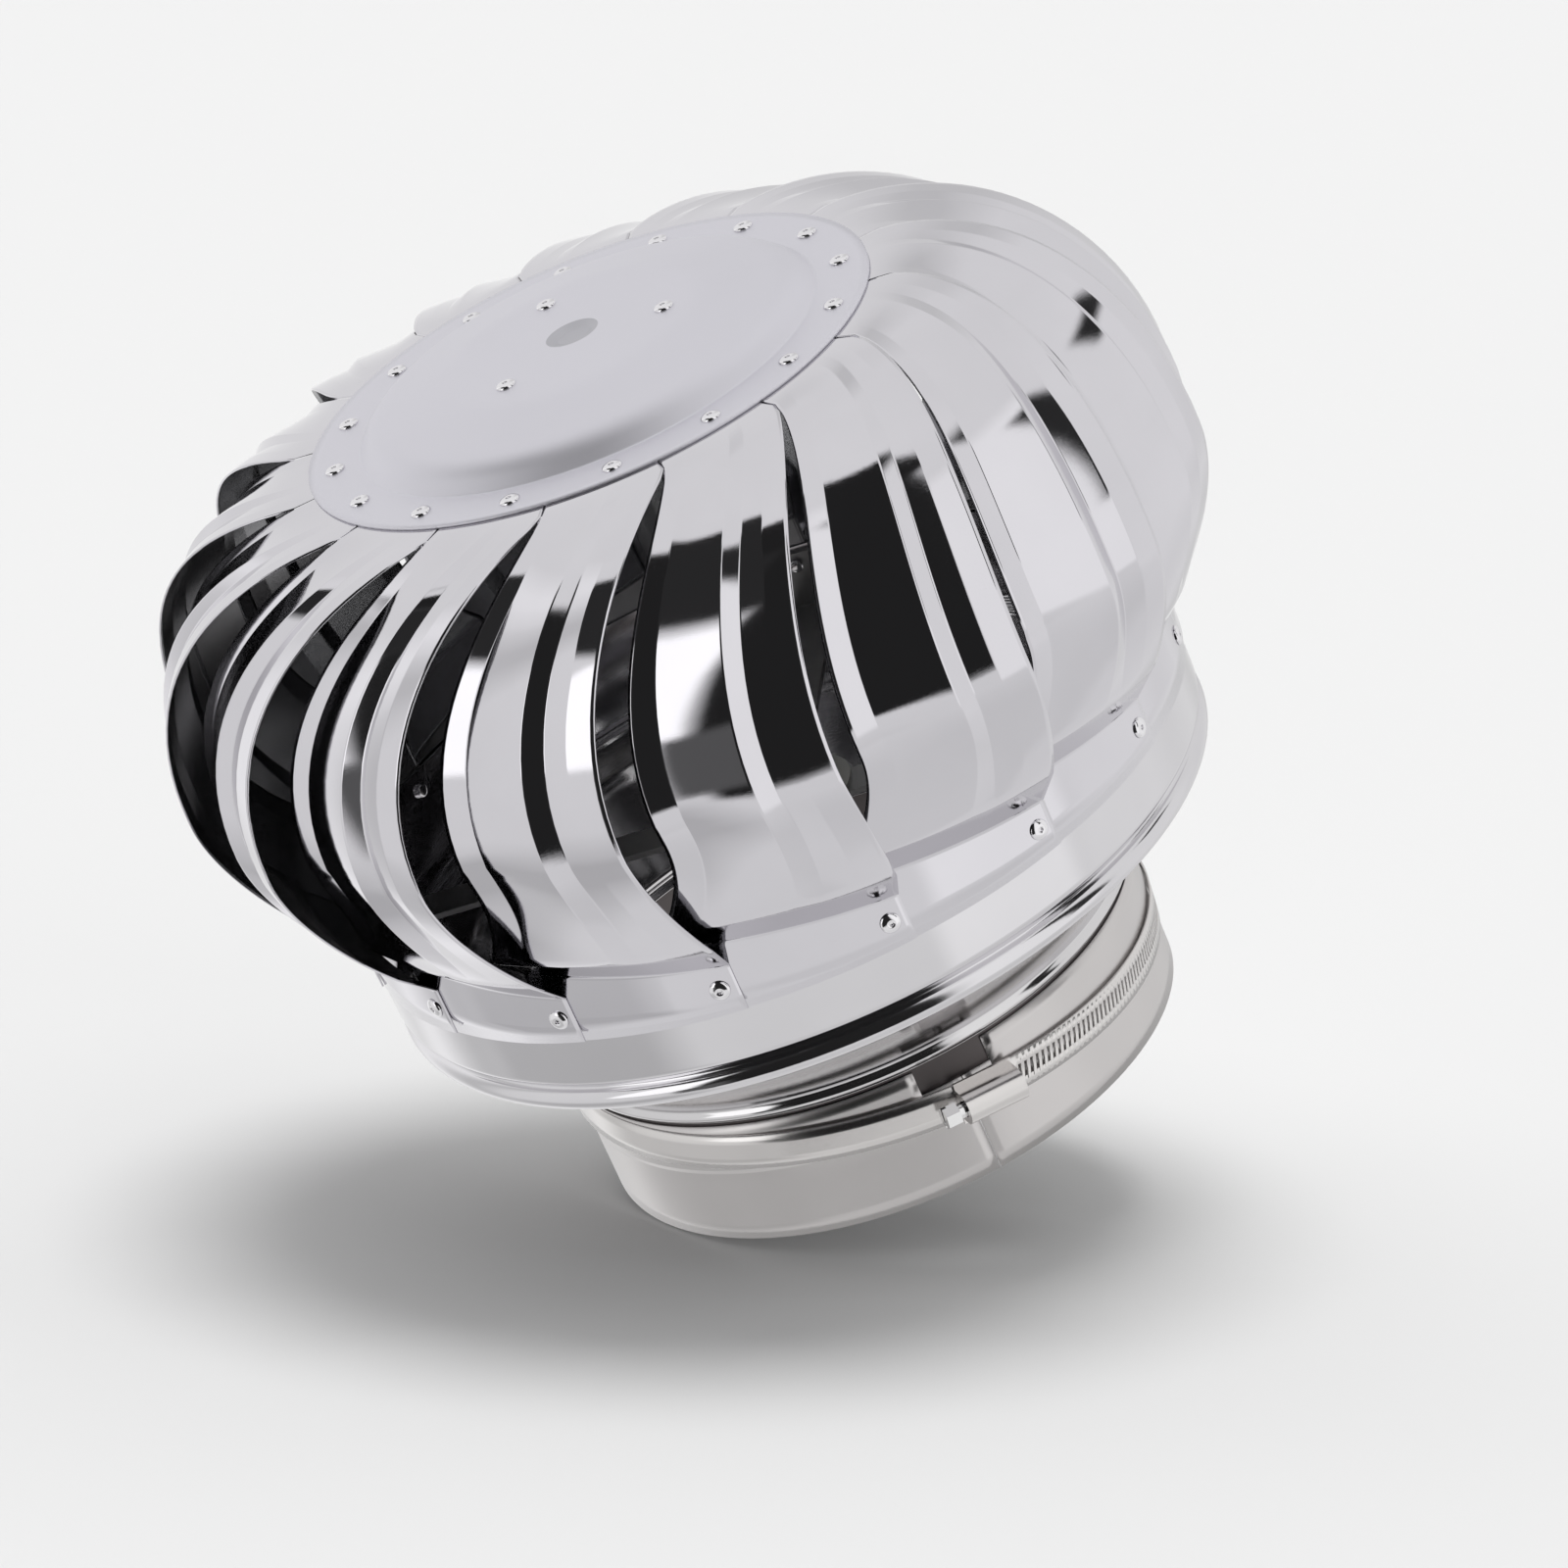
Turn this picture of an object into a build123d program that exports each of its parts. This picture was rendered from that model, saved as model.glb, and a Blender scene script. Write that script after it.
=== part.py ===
"""Roof turbine ventilator for a 200 mm round duct.

A ball of overlapping stainless blades turns on two bearings around a fixed axle.
The axle stands on a cross bracket in the throat, and a clamped collar holds the throat on the duct.
Millimetres. The origin is the centre of the collar's lower rim, and +Z is the spin axis, upwards.
An azimuth is measured anticlockwise seen from above, from the -Y direction, which is the front.
"""
from build123d import *
import os
from math import cos, sin, tan, radians, degrees, hypot

# Sheet metal, and the clearances that every fit is made from
blade_sheet = 0.6
shell_sheet = 0.7
seat_gap = 0.05
lap_gap = 0.15
rivet_gap = 0.1
running_gap = 0.3
cut_through = 16.0

# Collar, which slides over the duct
collar_bore_r = 101.0
collar_seat_height = 26.5
collar_step_rise = 2.0
collar_upper_height = 17.5
collar_fillet = 0.8
collar_slit = 0.8
collar_notch_width = 25.0
collar_notch_depth = 9.0

# Throat, the fixed funnel that leads the air into the ball
spigot_gap = 0.5
bead_gap = 0.8
throat_bead_height = 5.5
throat_bead_out = 2.6
throat_bead_fillet = 1.6
throat_flare_fillet = 14.0
throat_mouth_fillet = 24.0
mouth_gap = 6.8
mouth_rise = 11.0
flare_shares = (0.32, 0.24)
mouth_shares = (0.82, 0.65)

# Cross bracket in the spigot
bracket_rise = 13.5
bracket_sheet = 2.5
bracket_arm_width = 22.0
bracket_hub_r = 20.0
bracket_tab_height = 8.0
bracket_azimuth = 45.0
bracket_arms = 4

# Worm clamp, which hangs a little slanted until it is tightened
clamp_rise = 4.5
clamp_tilt = 5.0
clamp_azimuth = 13.0
band_width = 12.7
band_sheet = 0.7
housing_length = 21.0
housing_width = 15.0
housing_sheet = 0.9
worm_r = 4.2
worm_lift = 0.4
screw_neck_r = 2.6
screw_neck_length = 2.5
screw_head_across = 7.0
screw_head_length = 5.0
screw_slot_width = 1.2
screw_slot_depth = 1.6

# Ball of blades
blade_count = 16
ball_r = 178.5
equator_z = 190.0
shoulder_r = 105.0
tab_z = 273.0
tab_length = 24.0
fold_z = 140.0
fold_share = 0.329
fold_rise = 10.0
ball_squareness = 2.13
ball_taper = 1.7
ball_roundness = 0.58
foot_r = 145.7
foot_drop = 11.6
foot_height = 16.4
first_blade_azimuth = -6.35
seam_gap = 0.3
blade_sweep_angle = 21.7
foot_return_angle = 3.0
body_gap_angle = 0.7
opening_depth = 12.0
crease_places = (0.0, 0.28, 0.80, 0.94, 1.0)
crease_depths = (0.0, 0.08, 0.98, 1.12, 1.45)
body_stations = (0.93, 0.82, 0.66, 0.5, 0.33, 0.16, 0.0, -0.25, -0.5, -0.72, -0.88, -1.0)

# Rivets
rivet_r = 1.6
rivet_head_r = 3.4
rivet_head_height = 1.3
rivet_tail_r = 2.4
rivet_tail_length = 1.6
cap_rivet_inset = 9.3
cap_rivet_turn = 2.85
foot_rivet_margin = 6.0
foot_rivet_drop = 7.5
dome_rivet_azimuth = -52.8
dome_rivets_count = 3

# Cap
cap_rim_inset = 8.2
cap_rim_width = 18.2
cap_rim_fillet = 1.5
dome_side_width = 6.5
dome_side_share = 0.53
dome_side_fillet = 20.0
dome_crown_share = 0.547
dome_crown_fillet = 40.0
dome_height = 12.4
dimple_r = 9.0
dimple_depth = 1.2
dimple_fillet = 2.0

# Lower ring
ring_lip = 6.1
ring_wall_height = 32.4
ring_waist_inset = 4.6
ring_waist_drop = 3.2
ring_bend_fillet = 3.0
ring_waist_fillet = 1.0
ring_bead_r = 4.0
ring_bead_inset = 5.4
ring_bead_drop = 4.4

# Lower spider
spider_gap = 5.0
spider_sheet = 2.0
spider_arm_width = 16.0
spider_arms = 4
spider_end_margin = 1.0

# Axle and bearings
bearing_bore_r = 6.0
bearing_outer_r = 14.0
bearing_width = 8.0
bearing_ball_r = 2.38
bearing_balls = 8
race_land = 1.4
groove_gap = 0.12
cage_wall = 1.4
cage_gap = 0.5
shield_sheet = 0.5
lower_bearing_lift = 2.0
upper_bearing_drop = 10.2
axle_shoulder = 1.5
thread_step = 1.0
thread_end = 2.0
axle_end_rise = 1.0
axle_chamfer = 1.0
spacer_step = 0.2
washer_sheet = 1.2
foot_washer_r = 12.0
top_nut_across = 17.0
top_nut_height = 6.0
foot_nut_across = 19.0
foot_nut_height = 10.0

# Bearing cups
cup_wall = 2.4
cup_sheet = 1.5
cup_shoulder = 1.5
cup_lip = 3.3
cup_crown_margin = 5.0
dome_rivet_inset = 5.6
circlip_sheet = 1.0
circlip_depth = 0.85
circlip_reach = 1.4
circlip_opening = 5.0
lower_cup_flange_width = 12.0
lower_cup_rivet_inset = 4.5
spider_hub_margin = 1.0

# Places and sizes of the collar, the throat and the clamp that follow from the values above
collar_upper_r = collar_bore_r + shell_sheet
collar_outer_r = collar_upper_r + shell_sheet
collar_step_z = collar_seat_height + collar_step_rise
collar_height = collar_step_z + collar_upper_height
spigot_outer_r = collar_upper_r - seat_gap
spigot_middle_r = spigot_outer_r - shell_sheet / 2
spigot_inner_r = spigot_outer_r - shell_sheet
spigot_bottom_z = collar_step_z + spigot_gap
bead_bottom_z = collar_height + bead_gap
bead_top_z = bead_bottom_z + throat_bead_height
bracket_z = collar_seat_height + bracket_rise
clamp_z = collar_seat_height + clamp_rise
band_slant = band_width / 2 * sin(radians(clamp_tilt))
band_inner_r = (collar_outer_r + seat_gap + band_slant) / cos(radians(clamp_tilt))
band_outer_r = band_inner_r + band_sheet
worm_bore_r = worm_r + running_gap
worm_axis_r = band_outer_r + worm_bore_r + worm_lift

# Places and sizes of the ball and its ring
pitch = 360.0 / blade_count
body_angle = pitch - body_gap_angle
lap_step = blade_sheet + lap_gap
fold_r = foot_r + (ball_r - foot_r) * fold_share
foot_top_z = fold_z - foot_drop
foot_bottom_z = foot_top_z - foot_height
foot_edge = pitch / 2 - (blade_sweep_angle - foot_return_angle)
foot_margin = degrees(foot_rivet_margin / foot_r)
foot_angle = pitch + 2 * foot_margin
tab_inner_r = shoulder_r - tab_length
ring_rivet_z = foot_top_z - foot_rivet_drop
ring_outer_r = foot_r - 2 * lap_step
ring_inner_r = ring_outer_r - shell_sheet
ring_top_z = ring_rivet_z + ring_lip
ring_bend_z = ring_top_z - ring_wall_height
ring_waist_r = foot_r - ring_waist_inset
ring_waist_z = ring_bend_z - ring_waist_drop
ring_bead_center_r = foot_r - ring_bead_inset
ring_bead_z = ring_waist_z - ring_bead_drop
ring_rivet_azimuth = foot_edge - foot_margin
throat_mouth_r = ring_bead_center_r - ring_bead_r - mouth_gap
throat_mouth_z = ring_bead_z + mouth_rise

# Places and sizes of the cap
cap_rim_r = shoulder_r - cap_rim_inset
cap_rivet_r = cap_rim_r - cap_rivet_inset
cap_bottom_z = tab_z + seat_gap
cap_top_z = cap_bottom_z + shell_sheet
dome_base_r = cap_rim_r - cap_rim_width
dome_crown_r = dome_base_r * dome_crown_share
dome_under_z = cap_top_z + dome_height - shell_sheet

# Places and sizes of the axle, the bearings and their cups
spider_z = throat_mouth_z + spider_gap
lower_bearing_z = spider_z + spider_sheet + lower_bearing_lift
upper_bearing_z = tab_z - upper_bearing_drop
race_pitch_r = (bearing_bore_r + bearing_outer_r) / 2
spacer_r = race_pitch_r - race_land - spacer_step
cage_height = bearing_width - 2 * shield_sheet - 2 * cage_gap
axle_r = bearing_bore_r + axle_shoulder
thread_r = bearing_bore_r - thread_step
axle_bottom_z = collar_seat_height + axle_end_rise
foot_washer_z = bracket_z - washer_sheet
top_nut_z = upper_bearing_z + bearing_width + washer_sheet
axle_top_z = top_nut_z + top_nut_height + thread_end
cup_bore_r = bearing_outer_r + seat_gap / 2
cup_flange_r = dome_crown_r - cup_crown_margin
dome_rivet_r = cup_flange_r - dome_rivet_inset
lower_cup_flange_r = bearing_outer_r + lower_cup_flange_width
lower_cup_rivet_r = lower_cup_flange_r - lower_cup_rivet_inset
spider_hub_r = lower_cup_flange_r + spider_hub_margin


def polar(radius, azimuth, height):
    """Point at a radius and azimuth."""
    angle = radians(azimuth)
    return Vector(radius * sin(angle), -radius * cos(angle), height)


def turned(*points):
    """Solid turned about the spin axis from the (radius, height) corners of its section."""
    section = make_face(Polyline(*points, close=True))
    return revolve(Rot(X=90) * section, Axis.Z)


def tube(outer_r, inner_r, bottom, top):
    """Plain round tube on the spin axis."""
    return turned((inner_r, bottom), (outer_r, bottom), (outer_r, top), (inner_r, top))


def spun(points, radii, thickness=shell_sheet):
    """Sheet spun about the spin axis, from the (radius, height) corners of its middle line."""
    section = trace(FilletPolyline(*points, radius=radii), line_width=thickness)
    return revolve(Rot(X=90) * section, Axis.Z)


def plate(length, width, thickness, inner, height):
    """Flat bar that runs outwards along the front, from the radius inner."""
    return Pos(0, -inner - length / 2, height + thickness / 2) * Box(width, length, thickness)


def around(count, first, make):
    """Copies of one piece at even steps about the spin axis."""
    return [Rot(Z=first + index * 360.0 / count) * make for index in range(count)]


def radial(piece, azimuth, radius, height):
    """Stand a piece made along +Z on a wall, so that its +Z points outwards at the azimuth."""
    return Rot(Z=azimuth) * Pos(0, -radius, height) * Rot(X=90) * piece


def rivet(grip):
    """Blind rivet along Z: its head sits on the plane Z = 0, its tail lies under the grip."""
    head_edge = rivet_head_height * 0.35
    return turned(
        (0, -grip - rivet_tail_length), (rivet_tail_r, -grip - rivet_tail_length),
        (rivet_tail_r, -grip - seat_gap), (rivet_r, -grip - seat_gap), (rivet_r, 0),
        (rivet_head_r, 0), (rivet_head_r, head_edge), (rivet_head_r * 0.55, rivet_head_height),
        (0, rivet_head_height))


def rivet_hole():
    """Cutter for a rivet's shank, centred on Z = 0."""
    return Cylinder(rivet_r + rivet_gap, cut_through)


def front_cut(width, radius, bottom, top):
    """Cutter for a slit or notch in the front of a round wall."""
    return Pos(0, -radius, (bottom + top) / 2) * Box(width, cut_through, top - bottom)


def make_collar():
    """Split sleeve with a step: the duct fills the lower length, the throat's spigot the upper."""
    lower = collar_bore_r + shell_sheet / 2
    upper = collar_upper_r + shell_sheet / 2
    sleeve = spun([(lower, 0), (lower, collar_seat_height), (upper, collar_step_z), (upper, collar_height)],
                  [collar_fillet, collar_fillet])
    slit = front_cut(collar_slit, collar_outer_r, -shell_sheet, collar_height + shell_sheet)
    notch = front_cut(collar_notch_width, collar_outer_r, collar_height - collar_notch_depth,
                      collar_height + shell_sheet)
    return sleeve - Rot(Z=clamp_azimuth - 3) * slit - Rot(Z=clamp_azimuth - 4) * notch


def make_throat():
    """Spigot, stop bead and funnel in one spun sheet."""
    bead_r = spigot_middle_r + throat_bead_out
    bead_middle_z = (bead_bottom_z + bead_top_z) / 2
    corners = [(spigot_middle_r, spigot_bottom_z), (spigot_middle_r, bead_bottom_z + shell_sheet),
               (bead_r, bead_middle_z), (spigot_middle_r + shell_sheet, bead_top_z)]
    for across, up in (flare_shares, mouth_shares, (1.0, 1.0)):
        corners.append((spigot_middle_r + (throat_mouth_r - spigot_middle_r) * across,
                        bead_top_z + (throat_mouth_z - bead_top_z) * up))
    return spun(corners, [shell_sheet, throat_bead_fillet, throat_bead_fillet, throat_flare_fillet,
                          throat_mouth_fillet])


def make_bracket():
    """Cross of flat bars with its ends bent up along the spigot, and a hole for the axle."""
    reach = spigot_inner_r - seat_gap
    cross = Pos(0, 0, bracket_z + bracket_sheet / 2) * Cylinder(bracket_hub_r, bracket_sheet)
    bar = plate(reach, bracket_arm_width, bracket_sheet, 0, bracket_z)
    tall_bar = plate(reach, bracket_arm_width, bracket_tab_height, 0, bracket_z)
    shell = tube(reach, reach - bracket_sheet, bracket_z, bracket_z + bracket_tab_height)
    for arm in around(bracket_arms, bracket_azimuth, bar):
        cross += arm
    for arm in around(bracket_arms, bracket_azimuth, tall_bar):
        cross += shell & arm
    envelope = Pos(0, 0, bracket_z) * Cylinder(reach, 3 * bracket_tab_height)
    hole = Pos(0, 0, bracket_z) * Cylinder(bearing_bore_r + rivet_gap, 3 * bracket_sheet)
    return (cross & envelope) - hole


def place_clamp(piece):
    """Put a piece of the clamp, made at the front at height 0, where the slanted clamp hangs."""
    return Pos(0, 0, clamp_z) * Rot(Y=clamp_tilt) * Rot(Z=clamp_azimuth) * piece


def make_band():
    """Steel band of the clamp."""
    return place_clamp(tube(band_outer_r, band_inner_r, -band_width / 2, band_width / 2))


def along_screw(piece):
    """Lay a piece made along +Z on the screw's axis, with +Z to the right."""
    return Pos(0, -worm_axis_r, 0) * Rot(Y=90) * piece


def make_housing():
    """Arched housing that holds the worm screw on the band."""
    arch_r = worm_bore_r + housing_sheet
    rise = worm_axis_r - band_inner_r
    body = along_screw(Cylinder(arch_r, housing_length))
    body += Pos(0, -worm_axis_r + rise / 2, 0) * Box(housing_length, rise, 2 * arch_r)
    body += Pos(0, -band_outer_r - housing_sheet / 2, 0) * Box(housing_length, housing_sheet, housing_width)
    body -= along_screw(Cylinder(worm_bore_r, housing_length - 2 * housing_sheet))
    body -= along_screw(Cylinder(screw_neck_r + running_gap, housing_length + 2))
    body -= Cylinder(band_outer_r + seat_gap, 2 * housing_width)
    return place_clamp(body)


def make_screw():
    """Worm screw of the clamp with its slotted hexagon head; the worm's thread is left plain."""
    half = housing_length / 2
    worm_length = housing_length - 2 * housing_sheet - 2 * running_gap
    neck_end = -half - screw_neck_length
    screw = Cylinder(worm_r, worm_length)
    screw += Pos(0, 0, (neck_end + half) / 2) * Cylinder(screw_neck_r, half - neck_end)
    head = extrude(RegularPolygon(screw_head_across / 2, 6, major_radius=False), screw_head_length)
    head -= Pos(0, 0, screw_slot_depth / 2) * Box(2 * screw_head_across, screw_slot_width, screw_slot_depth)
    screw += Pos(0, 0, neck_end - screw_head_length) * head
    return place_clamp(along_screw(screw))


def meridian(place):
    """Outer line of the ball, as (radius, height): 1 is the shoulder, 0 the equator, -1 the fold."""
    if place >= 0:
        angle = radians(90 * place)
        power = 2 / ball_squareness
        across = cos(angle) ** power
        up = sin(angle) ** power
        return shoulder_r + (ball_r - shoulder_r) * across, equator_z + (tab_z - equator_z) * up
    drop = -place
    return ball_r - (ball_r - fold_r) * drop ** ball_taper, equator_z - (equator_z - fold_z) * drop


def outward(place):
    """Unit vector, as (radius, height), that points out of the ball at a place on its outer line."""
    step = 0.01
    below = meridian(place - step)
    above = meridian(min(place + step, 1.0))
    run = above[0] - below[0]
    rise = above[1] - below[1]
    size = hypot(run, rise)
    return rise / size, -run / size


def station(place):
    """Values of one cross-section of a blade.

    They are its radius and height, its outward direction, the azimuth of its free edge, its width in
    degrees, how far it stands open, how much it laps its neighbour, how round it is in plan and how
    far it rises from the free edge to the inner one.
    """
    radius, height = meridian(place)
    reach = abs(place)
    if place >= 0:
        edge = pitch / 2 - blade_sweep_angle * (1 - place ** 2)
        width = body_angle + (pitch - body_angle) * place ** 4
        depth = opening_depth * (1 - reach ** 3)
        roundness = ball_roundness * (1 - reach ** 4)
        return radius, height, outward(place), edge, width, depth, 0.0, roundness, 0.0
    edge = pitch / 2 - blade_sweep_angle + foot_return_angle * reach ** 1.3
    width = body_angle + (foot_angle - body_angle) * reach ** 4
    depth = opening_depth * (1 - reach ** 2.5)
    roundness = ball_roundness + (1 - ball_roundness) * reach ** 3
    rise = fold_rise * reach ** 2
    return radius, height, outward(place), edge, width, depth, lap_step, roundness, rise


def foot_station(share, height, rise=fold_rise):
    """Cross-section between the fold and the foot: share is 0 at the fold and 1 at the foot."""
    radius = fold_r + (foot_r - fold_r) * share
    tilt = radians(-45 * (1 - share))
    return radius, height, (cos(tilt), sin(tilt)), foot_edge, foot_angle, 0.0, lap_step, 1.0, rise


def section_wire(values):
    """Closed thin outline across a blade, with four bent strips between its creases."""
    radius, height, out, edge, width, depth, lap, roundness, rise = values
    slope = rise / (2 * radius * sin(radians(width / 2)))

    def slanted(distance, azimuth, level):
        run = distance * sin(radians(azimuth - edge + width / 2))
        return polar(distance, azimuth, level + rise / 2 - slope * run)

    sides = []
    for skin in (0.0, blade_sheet):
        points = []
        for place, share in zip(crease_places, crease_depths):
            inward = skin + depth * share + lap * min(share / crease_depths[2], 1.0)
            inward -= lap * crease_depths[1] / crease_depths[2] * (place == crease_places[1])
            points.append((radius - inward * out[0], edge - width * place, height - inward * out[1]))
        sides.append(points)
    edges = []
    for points in sides:
        for start, end in zip(points, points[1:]):
            middle_r = (start[0] + end[0]) / 2
            cosine = cos(radians(start[1] - end[1]) / 2)
            control_r = middle_r * (cosine * (1 - roundness) + roundness / cosine)
            control = slanted(control_r, (start[1] + end[1]) / 2, (start[2] + end[2]) / 2)
            edges.append(Edge.make_bezier(slanted(*start), control, slanted(*end)))
    for end in (0, -1):
        edges.append(Edge.make_line(slanted(*sides[0][end]), slanted(*sides[1][end])))
    return Wire(edges)


def tab_wire():
    """The same outline where the flat tab ends: straight across, a shoulder's distance out."""
    half = tab_half_width(shoulder_r)
    edges = []
    for height in (tab_z, tab_z - blade_sheet):
        places = [half - 2 * half * place for place in crease_places]
        for start, end in zip(places, places[1:]):
            middle = Vector((start + end) / 2, -shoulder_r, height)
            edges.append(Edge.make_bezier((start, -shoulder_r, height), middle, (end, -shoulder_r, height)))
    for side in (half, -half):
        edges.append(Edge.make_line((side, -shoulder_r, tab_z), (side, -shoulder_r, tab_z - blade_sheet)))
    return Wire(edges)


def tab_half_width(distance):
    """Half the width of a tab at a distance out from the spin axis."""
    return distance * tan(radians(pitch / 2)) - seam_gap / 2


def make_blade():
    """One blade: flat tab under the cap, twisted and creased body, and a foot lapped on the ring."""
    stations = [station(place) for place in body_stations]
    stations.append(foot_station(0.5, (fold_z + foot_top_z) / 2))
    stations.append(foot_station(1.0, foot_top_z))
    wires = [tab_wire()] + [section_wire(values) for values in stations]
    body = Solid.make_loft(wires)
    foot = Solid.make_loft([section_wire(foot_station(1.0, foot_top_z)),
                            section_wire(foot_station(1.0, foot_bottom_z, rise=0.0))], ruled=True)
    inner = tab_half_width(tab_inner_r)
    outer = tab_half_width(shoulder_r)
    corners = [(-inner, -tab_inner_r), (inner, -tab_inner_r), (outer, -shoulder_r), (-outer, -shoulder_r)]
    tab = Pos(0, 0, tab_z - blade_sheet) * extrude(make_face(Polyline(*corners, close=True)), blade_sheet)
    blade = body + foot + tab
    blade -= Rot(Z=cap_rivet_turn) * Pos(0, -cap_rivet_r, tab_z) * rivet_hole()
    for azimuth in (ring_rivet_azimuth, ring_rivet_azimuth - pitch):
        blade -= radial(rivet_hole(), azimuth, foot_r, ring_rivet_z)
    return blade


def make_cap():
    """Cap: flat rim over the blades' tabs, dome with a flat crown, and a shallow centre dimple."""
    middle_z = cap_bottom_z + shell_sheet / 2
    crown_z = middle_z + dome_height
    side = (dome_base_r - dome_side_width, middle_z + dome_height * dome_side_share)
    cap = spun([(cap_rim_r, middle_z), (dome_base_r, middle_z), side, (dome_crown_r, crown_z),
                (dimple_r, crown_z), (dimple_r * 0.6, crown_z - dimple_depth), (0, crown_z - dimple_depth)],
               [cap_rim_fillet, dome_side_fillet, dome_crown_fillet, dimple_fillet, dimple_fillet])
    for hole in around(blade_count, first_blade_azimuth + cap_rivet_turn,
                       Pos(0, -cap_rivet_r, cap_bottom_z) * rivet_hole()):
        cap -= hole
    for hole in around(dome_rivets_count, dome_rivet_azimuth, Pos(0, -dome_rivet_r, crown_z) * rivet_hole()):
        cap -= hole
    return cap


def make_lower_ring():
    """Bowl-shaped ring that ties the blades' feet, with a wired bead along its lower edge."""
    wall_r = ring_outer_r - shell_sheet / 2
    ring = spun([(wall_r, ring_top_z), (wall_r, ring_bend_z), (ring_waist_r, ring_waist_z),
                 (ring_bead_center_r, ring_bead_z + ring_bead_r / 2)],
                [ring_bend_fillet, ring_waist_fillet])
    bead = Pos(ring_bead_center_r, ring_bead_z) * Circle(ring_bead_r)
    ring += revolve(Rot(X=90) * bead, Axis.Z)
    hole = radial(rivet_hole(), first_blade_azimuth + ring_rivet_azimuth, ring_outer_r, ring_rivet_z)
    for cutter in around(blade_count, 0, hole):
        ring -= cutter
    return ring


def make_spider():
    """Flat cross that holds the lower bearing; its ends are bent up and share four ring rivets."""
    reach = ring_inner_r - seat_gap
    azimuth = first_blade_azimuth + ring_rivet_azimuth
    height = ring_rivet_z + rivet_head_r + spider_end_margin - spider_z
    spider = Pos(0, 0, spider_z + spider_sheet / 2) * Cylinder(spider_hub_r, spider_sheet)
    for arm in around(spider_arms, azimuth, plate(reach, spider_arm_width, spider_sheet, 0, spider_z)):
        spider += arm
    shell = tube(reach, reach - spider_sheet, spider_z, spider_z + height)
    for arm in around(spider_arms, azimuth, plate(reach, spider_arm_width, height, 0, spider_z)):
        spider += shell & arm
    spider = spider & Pos(0, 0, spider_z) * Cylinder(reach, 3 * height)
    spider -= Pos(0, 0, spider_z) * Cylinder(bearing_outer_r, cut_through)
    for hole in around(spider_arms, azimuth, radial(rivet_hole(), 0, reach, ring_rivet_z)):
        spider -= hole
    for hole in cup_rivet_places(Pos(0, 0, spider_z) * rivet_hole()):
        spider -= hole
    return spider


def cup_rivet_places(piece):
    """Copies of a piece at the four rivets of the lower bearing cup, between the spider's arms."""
    azimuth = first_blade_azimuth + ring_rivet_azimuth + 180.0 / spider_arms
    return around(spider_arms, azimuth, Pos(0, -lower_cup_rivet_r, 0) * piece)


def make_lower_cup():
    """Flanged cup in which the lower bearing sits."""
    bottom = spider_z + spider_sheet
    top = lower_bearing_z + bearing_width + cup_shoulder
    wall = cup_bore_r + cup_wall
    cup = turned((cup_bore_r, bottom), (lower_cup_flange_r, bottom), (lower_cup_flange_r, bottom + cup_sheet),
                 (wall, bottom + cup_sheet), (wall, top), (cup_bore_r, top))
    for hole in cup_rivet_places(Pos(0, 0, bottom) * rivet_hole()):
        cup -= hole
    return cup


def make_upper_cup():
    """Flanged cup under the dome: its shoulder rests on the upper bearing and carries the ball."""
    bearing_top = upper_bearing_z + bearing_width
    bottom = upper_bearing_z - cup_lip
    wall = cup_bore_r + cup_wall
    opening = cup_bore_r - cup_shoulder
    cup = turned((cup_bore_r, bottom), (wall, bottom), (wall, dome_under_z - cup_sheet),
                 (cup_flange_r, dome_under_z - cup_sheet), (cup_flange_r, dome_under_z),
                 (opening, dome_under_z), (opening, bearing_top), (cup_bore_r, bearing_top))
    cup -= tube(cup_bore_r + circlip_depth, opening, circlip_bottom() - seat_gap, upper_bearing_z - seat_gap)
    for hole in around(dome_rivets_count, dome_rivet_azimuth,
                       Pos(0, -dome_rivet_r, dome_under_z) * rivet_hole()):
        cup -= hole
    return cup


def circlip_bottom():
    """Height of the underside of the ring that keeps the upper bearing in its cup."""
    return upper_bearing_z - 2 * seat_gap - circlip_sheet


def make_circlip():
    """Open ring in the cup's groove, under the upper bearing."""
    outer = cup_bore_r + circlip_depth - seat_gap
    bottom = circlip_bottom()
    ring = tube(outer, bearing_outer_r - circlip_reach, bottom, bottom + circlip_sheet)
    return ring - front_cut(circlip_opening, outer, bottom - circlip_sheet, bottom + 2 * circlip_sheet)


def make_axle():
    """Stepped axle: thick between the bearings, thinner in them, threaded at the top."""
    lower_top = lower_bearing_z + bearing_width
    upper_top = upper_bearing_z + bearing_width
    return turned(
        (0, axle_bottom_z), (bearing_bore_r - axle_chamfer, axle_bottom_z),
        (bearing_bore_r, axle_bottom_z + axle_chamfer),
        (bearing_bore_r, lower_top), (axle_r, lower_top), (axle_r, upper_bearing_z),
        (bearing_bore_r, upper_bearing_z), (bearing_bore_r, upper_top), (thread_r, upper_top),
        (thread_r, axle_top_z - axle_chamfer), (thread_r - axle_chamfer, axle_top_z), (0, axle_top_z))


def hex_nut(across, height, bore, bottom):
    """Hexagon nut on the spin axis."""
    blank = extrude(RegularPolygon(across / 2, 6, major_radius=False), height)
    return Pos(0, 0, bottom) * (blank - Cylinder(bore + seat_gap / 2, 3 * height))


def make_inner_race(bottom):
    """Inner ring of a bearing with its ball groove."""
    race = tube(race_pitch_r - race_land, bearing_bore_r + seat_gap / 2, bottom, bottom + bearing_width)
    return race - ball_groove(bottom)


def make_outer_race(bottom):
    """Outer ring of a bearing with its ball groove."""
    race = tube(bearing_outer_r, race_pitch_r + race_land, bottom, bottom + bearing_width)
    return race - ball_groove(bottom)


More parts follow.
